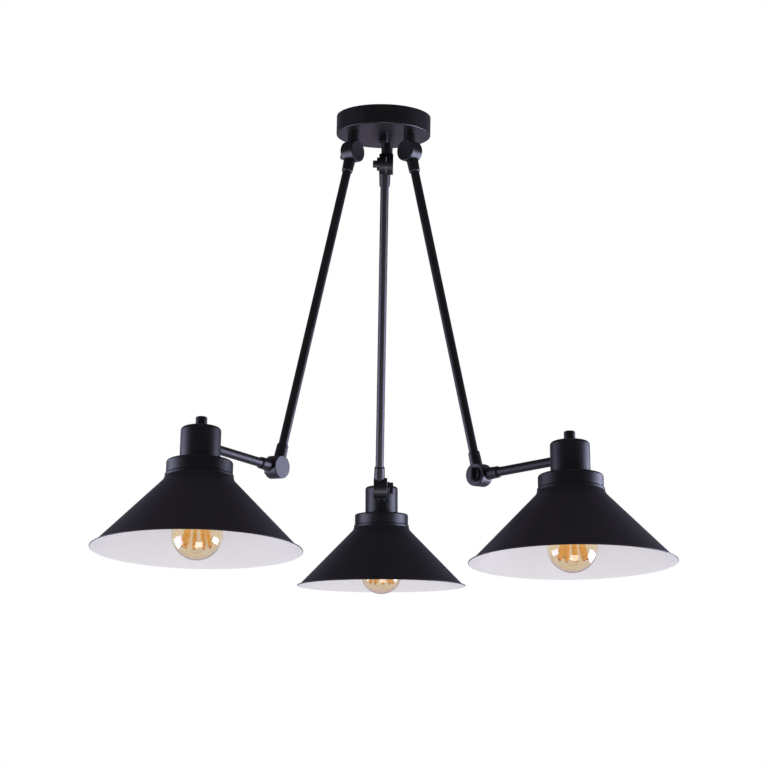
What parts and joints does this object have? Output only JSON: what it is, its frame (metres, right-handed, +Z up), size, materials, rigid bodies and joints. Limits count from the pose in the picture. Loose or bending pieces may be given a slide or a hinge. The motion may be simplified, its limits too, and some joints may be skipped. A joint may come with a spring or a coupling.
{
  "type": "ceiling light",
  "caption": "Black ceiling light whose round canopy carries swivelling, folding arms with thumb-screw hinges, each ending in a wide conical shade over a bare bulb.",
  "frame": {"origin": "centre of the mounting bracket's top face, in the ceiling plane", "axes": "+Z up into the ceiling, +Y towards the back arm's stem, +X to the right of the pictured front"},
  "size_m": [0.6413, 0.7889, 0.5917],
  "materials": {
    "black_powder_coat": "satin",
    "zinc_steel": "zinc plated",
    "brass": "satin",
    "terminal_moulding": "matt",
    "washer_fibre": "matt",
    "lampholder_moulding": "gloss",
    "amber_glass": "clear",
    "bulb_metal": "satin"
  },
  "bodies": {
    "canopy": {"canopy": "black_powder_coat", "mounting_bracket": "zinc_steel", "centre_screw": "black_powder_coat", "terminal_block": "terminal_moulding", "earth_screw": "brass", "swivel_washers": "washer_fibre"},
    "left_stem": {"left_stem": "black_powder_coat", "left_stem_nut": "zinc_steel"},
    "left_upper_arm": {"left_upper_knuckle": "black_powder_coat", "left_upper_tube": "black_powder_coat", "left_lower_knuckle": "black_powder_coat"},
    "left_top_screw": {"left_top_thumb_screw": "black_powder_coat"},
    "left_short_arm": {"left_arm_knuckle": "black_powder_coat", "left_short_tube": "black_powder_coat", "left_tube_nut": "zinc_steel"},
    "left_elbow_screw": {"left_elbow_thumb_screw": "black_powder_coat"},
    "left_head": {"left_cup": "black_powder_coat", "left_cap_nut": "black_powder_coat", "left_lampholder": "lampholder_moulding", "left_collar": "black_powder_coat", "left_shade": "black_powder_coat", "left_shade_ring": "lampholder_moulding", "left_bulb_glass": "amber_glass", "left_bulb_base": "bulb_metal"},
    "right_stem": {"right_stem": "black_powder_coat", "right_stem_nut": "zinc_steel"},
    "right_upper_arm": {"right_upper_knuckle": "black_powder_coat", "right_upper_tube": "black_powder_coat", "right_lower_knuckle": "black_powder_coat"},
    "right_top_screw": {"right_top_thumb_screw": "black_powder_coat"},
    "right_short_arm": {"right_arm_knuckle": "black_powder_coat", "right_short_tube": "black_powder_coat", "right_tube_nut": "zinc_steel"},
    "right_elbow_screw": {"right_elbow_thumb_screw": "black_powder_coat"},
    "right_head": {"right_cup": "black_powder_coat", "right_cap_nut": "black_powder_coat", "right_lampholder": "lampholder_moulding", "right_collar": "black_powder_coat", "right_shade": "black_powder_coat", "right_shade_ring": "lampholder_moulding", "right_bulb_glass": "amber_glass", "right_bulb_base": "bulb_metal"},
    "back_stem": {"back_stem": "black_powder_coat", "back_stem_nut": "zinc_steel"},
    "back_upper_arm": {"back_upper_knuckle": "black_powder_coat", "back_upper_tube": "black_powder_coat", "back_lower_knuckle": "black_powder_coat"},
    "back_top_screw": {"back_top_thumb_screw": "black_powder_coat"},
    "back_short_arm": {"back_arm_knuckle": "black_powder_coat", "back_short_tube": "black_powder_coat", "back_tube_nut": "zinc_steel"},
    "back_elbow_screw": {"back_elbow_thumb_screw": "black_powder_coat"},
    "back_head": {"back_cup": "black_powder_coat", "back_cap_nut": "black_powder_coat", "back_lampholder": "lampholder_moulding", "back_collar": "black_powder_coat", "back_shade": "black_powder_coat", "back_shade_ring": "lampholder_moulding", "back_bulb_glass": "amber_glass", "back_bulb_base": "bulb_metal"}
  },
  "joints": [
    {"name": "left_swivel", "type": "hinge", "parent": "canopy", "child": "left_stem", "pos_m": [-0.03551, -0.0205, -0.024], "axis": [0, 0, 1], "range_deg": [-65.3, 4.7]},
    {"name": "left_top_hinge", "type": "hinge", "parent": "left_stem", "child": "left_upper_arm", "pos_m": [-0.03612, -0.02015, -0.0498], "axis": [-0.8686, 0.4955, 0], "range_deg": [-17.4, 52.6]},
    {"name": "left_elbow_hinge", "type": "hinge", "parent": "left_upper_arm", "child": "left_short_arm", "pos_m": [-0.10191, -0.12945, -0.45678], "axis": [0.8686, -0.4955, 0], "range_deg": [-36.2, 78.8]},
    {"name": "left_head_turn", "type": "hinge", "parent": "left_short_arm", "child": "left_head", "pos_m": [-0.16814, -0.24253, -0.44255], "axis": [-0.4926, -0.8636, 0.108], "range_deg": [-50.2, 39.8]},
    {"name": "left_top_screw_turn", "type": "hinge", "parent": "left_upper_arm", "child": "left_top_screw", "pos_m": [-0.03612, -0.02015, -0.0498], "axis": [-0.8686, 0.4955, 0], "range_deg": [0, 360]},
    {"name": "left_elbow_screw_turn", "type": "hinge", "parent": "left_short_arm", "child": "left_elbow_screw", "pos_m": [-0.10191, -0.12945, -0.45678], "axis": [-0.8686, 0.4955, 0], "range_deg": [0, 360]},
    {"name": "right_swivel", "type": "hinge", "parent": "canopy", "child": "right_stem", "pos_m": [0.03551, -0.0205, -0.024], "axis": [0, 0, 1], "range_deg": [-29.3, 40.7]},
    {"name": "right_top_hinge", "type": "hinge", "parent": "right_stem", "child": "right_upper_arm", "pos_m": [0.03592, -0.01993, -0.0498], "axis": [-0.5835, -0.8121, 0], "range_deg": [-15.8, 54.2]},
    {"name": "right_elbow_hinge", "type": "hinge", "parent": "right_upper_arm", "child": "right_short_arm", "pos_m": [0.13197, -0.08526, -0.46019], "axis": [0.5835, 0.8121, 0], "range_deg": [-35.1, 79.9]},
    {"name": "right_head_turn", "type": "hinge", "parent": "right_short_arm", "child": "right_head", "pos_m": [0.23935, -0.16057, -0.4471], "axis": [0.8081, -0.5807, 0.0993], "range_deg": [-40.2, 49.8]},
    {"name": "right_top_screw_turn", "type": "hinge", "parent": "right_upper_arm", "child": "right_top_screw", "pos_m": [0.03592, -0.01993, -0.0498], "axis": [0.5835, 0.8121, 0], "range_deg": [0, 360]},
    {"name": "right_elbow_screw_turn", "type": "hinge", "parent": "right_upper_arm", "child": "right_elbow_screw", "pos_m": [0.13197, -0.08526, -0.46019], "axis": [-0.5835, -0.8121, 0], "range_deg": [0, 360]},
    {"name": "back_swivel", "type": "hinge", "parent": "canopy", "child": "back_stem", "pos_m": [0, 0.041, -0.024], "axis": [0, 0, 1], "range_deg": [-41.7, 28.3]},
    {"name": "back_top_hinge", "type": "hinge", "parent": "back_stem", "child": "back_upper_arm", "pos_m": [-0.00069, 0.04092, -0.0498], "axis": [0.9932, 0.1167, 0], "range_deg": [-18.1, 51.9]},
    {"name": "back_elbow_hinge", "type": "hinge", "parent": "back_upper_arm", "child": "back_short_arm", "pos_m": [-0.01615, 0.17252, -0.4552], "axis": [-0.9932, -0.1167, 0], "range_deg": [-45.9, 69.1]},
    {"name": "back_head_turn", "type": "hinge", "parent": "back_short_arm", "child": "back_head", "pos_m": [-0.03002, 0.30344, -0.46163], "axis": [-0.1165, 0.992, -0.0488], "range_deg": [-44.1, 45.9]},
    {"name": "back_top_screw_turn", "type": "hinge", "parent": "back_upper_arm", "child": "back_top_screw", "pos_m": [-0.00069, 0.04092, -0.0498], "axis": [-0.9932, -0.1167, 0], "range_deg": [0, 360]},
    {"name": "back_elbow_screw_turn", "type": "hinge", "parent": "back_short_arm", "child": "back_elbow_screw", "pos_m": [-0.01615, 0.17252, -0.4552], "axis": [0.9932, 0.1167, 0], "range_deg": [0, 360]}
  ]
}
